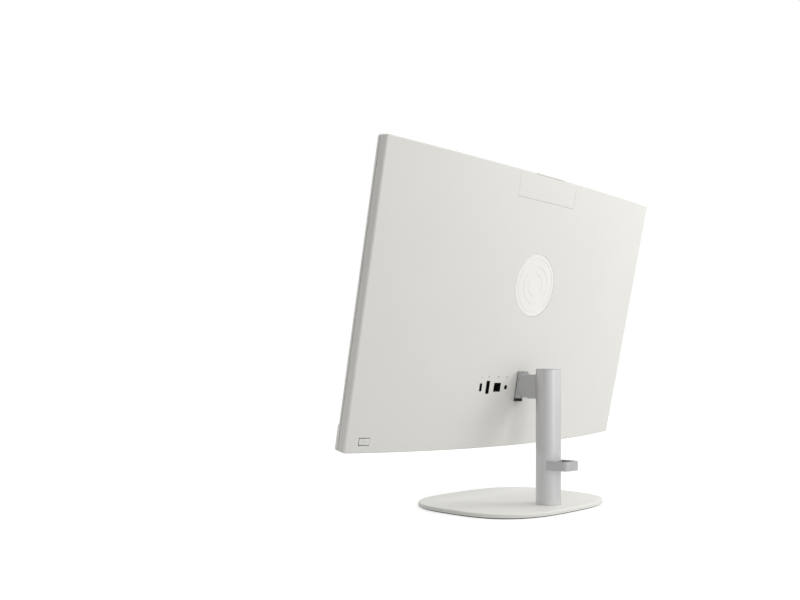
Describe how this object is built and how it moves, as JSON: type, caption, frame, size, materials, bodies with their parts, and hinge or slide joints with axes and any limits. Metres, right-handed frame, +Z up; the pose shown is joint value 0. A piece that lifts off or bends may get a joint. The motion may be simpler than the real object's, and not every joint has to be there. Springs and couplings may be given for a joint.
{
  "type": "all in one computer",
  "caption": "All-in-one desktop computer: thin curved head with a display and pop-up camera, tilt hinge on a round column, rounded base plate and cable clip.",
  "frame": {"origin": "on the table, at the centre of the base", "axes": "+Z up, +X along the width, display faces -Y, stand column behind at +Y"},
  "size_m": [0.539, 0.1916, 0.4209],
  "materials": {
    "shell_white": "fine matte texture with sparse dark specks",
    "badge_gloss": "smooth gloss",
    "frame_white": "fine matte",
    "screen_glass": "dark anti-glare panel",
    "border_black": "black border behind the panel's front",
    "tray_grey": "light guide and films in a tray",
    "grille_grey": "fine perforated",
    "speaker_black": "matte",
    "chassis_steel": "zinc plated sheet",
    "board_green": "solder mask",
    "copper": "copper",
    "fin_aluminium": "thin fins",
    "fan_black": "matte",
    "cell_steel": "polished",
    "antenna_gold": "film on a thin board",
    "ribbon": "flat ribbon",
    "socket_black": "moulded black",
    "sign_grey": "printed",
    "rail_plastic": "moulded",
    "lens_glass": "lens",
    "hinge_steel": "pressed steel",
    "shroud_grey": "flat grey",
    "boot_black": "matte",
    "screw_steel": "zinc plated",
    "pin_steel": "ground pin",
    "washer_brass": "friction washer",
    "column_silver": "satin anodised",
    "clip_silver": "satin",
    "base_white": "matte paint with sparse specks",
    "weight_steel": "cut steel plate",
    "foot_rubber": "soft ring"
  },
  "bodies": {
    "stand": {"arm": "shroud_grey", "arm_side_covers": "shroud_grey", "arm_screws": "screw_steel", "hinge_pin": "pin_steel", "friction_washers": "washer_brass", "column_tube": "column_silver", "column_cap": "column_silver", "column_foot": "weight_steel", "base_screw": "screw_steel", "base_cover": "base_white", "base_weight": "weight_steel", "base_foot_ring": "foot_rubber", "cable_clip": "clip_silver", "clip_screw": "screw_steel"},
    "head": {"rear_cover": "shell_white", "camera_cover": "shell_white", "badge_disc": "badge_gloss", "middle_frame": "frame_white", "lcd_panel": "screen_glass", "lcd_border": "border_black", "backlight_tray": "tray_grey", "chin_cover": "frame_white", "speaker_grille": "grille_grey", "speaker_left": "speaker_black", "speaker_right": "speaker_black", "chassis_plate": "chassis_steel", "motherboard": "board_green", "cpu_heat_plate": "copper", "heat_pipe": "copper", "fin_stack": "fin_aluminium", "blower_housing": "fan_black", "memory_modules": "board_green", "ssd_card": "board_green", "wifi_card": "board_green", "coin_cell": "cell_steel", "antennas": "antenna_gold", "display_cable": "ribbon", "usb_c_socket": "socket_black", "hdmi_socket": "socket_black", "network_socket": "socket_black", "dc_jack": "socket_black", "usb_a_sockets": "socket_black", "audio_jack": "socket_black", "port_signs": "sign_grey", "button_board": "board_green", "camera_rails": "rail_plastic", "camera_latch": "rail_plastic", "hinge_plate": "hinge_steel", "hinge_shroud": "shroud_grey", "hinge_boot": "boot_black", "hinge_screws": "screw_steel", "cover_screws": "screw_steel"},
    "fan": {"fan_impeller": "fan_black"},
    "power_key": {"power_button": "shell_white"},
    "camera": {"camera_body": "shell_white", "camera_back": "shell_white", "camera_cap": "shell_white", "camera_lens": "lens_glass", "camera_board": "board_green"}
  },
  "joints": [
    {"name": "head_tilt", "type": "hinge", "parent": "stand", "child": "head", "pos_m": [0, 0.0305, 0.1532], "axis": [-1, 0, 0], "range_deg": [-16.6, 8.4]},
    {"name": "fan_spin", "type": "hinge", "parent": "head", "child": "fan", "pos_m": [-0.076, 0.02181, 0.25318], "axis": [0, 0.9796, -0.2009], "continuous": true},
    {"name": "power_press", "type": "hinge", "parent": "head", "child": "power_key", "pos_m": [0.2379, -0.01639, 0.09309], "axis": [0, -0.2009, -0.9796], "range_deg": [0, 2.4], "stiffness_Nm_per_rad": 0.6},
    {"name": "camera_rise", "type": "slide", "parent": "head", "child": "camera", "axis": [0, 0.2009, 0.9796], "range_m": [0, 0.0165]}
  ]
}
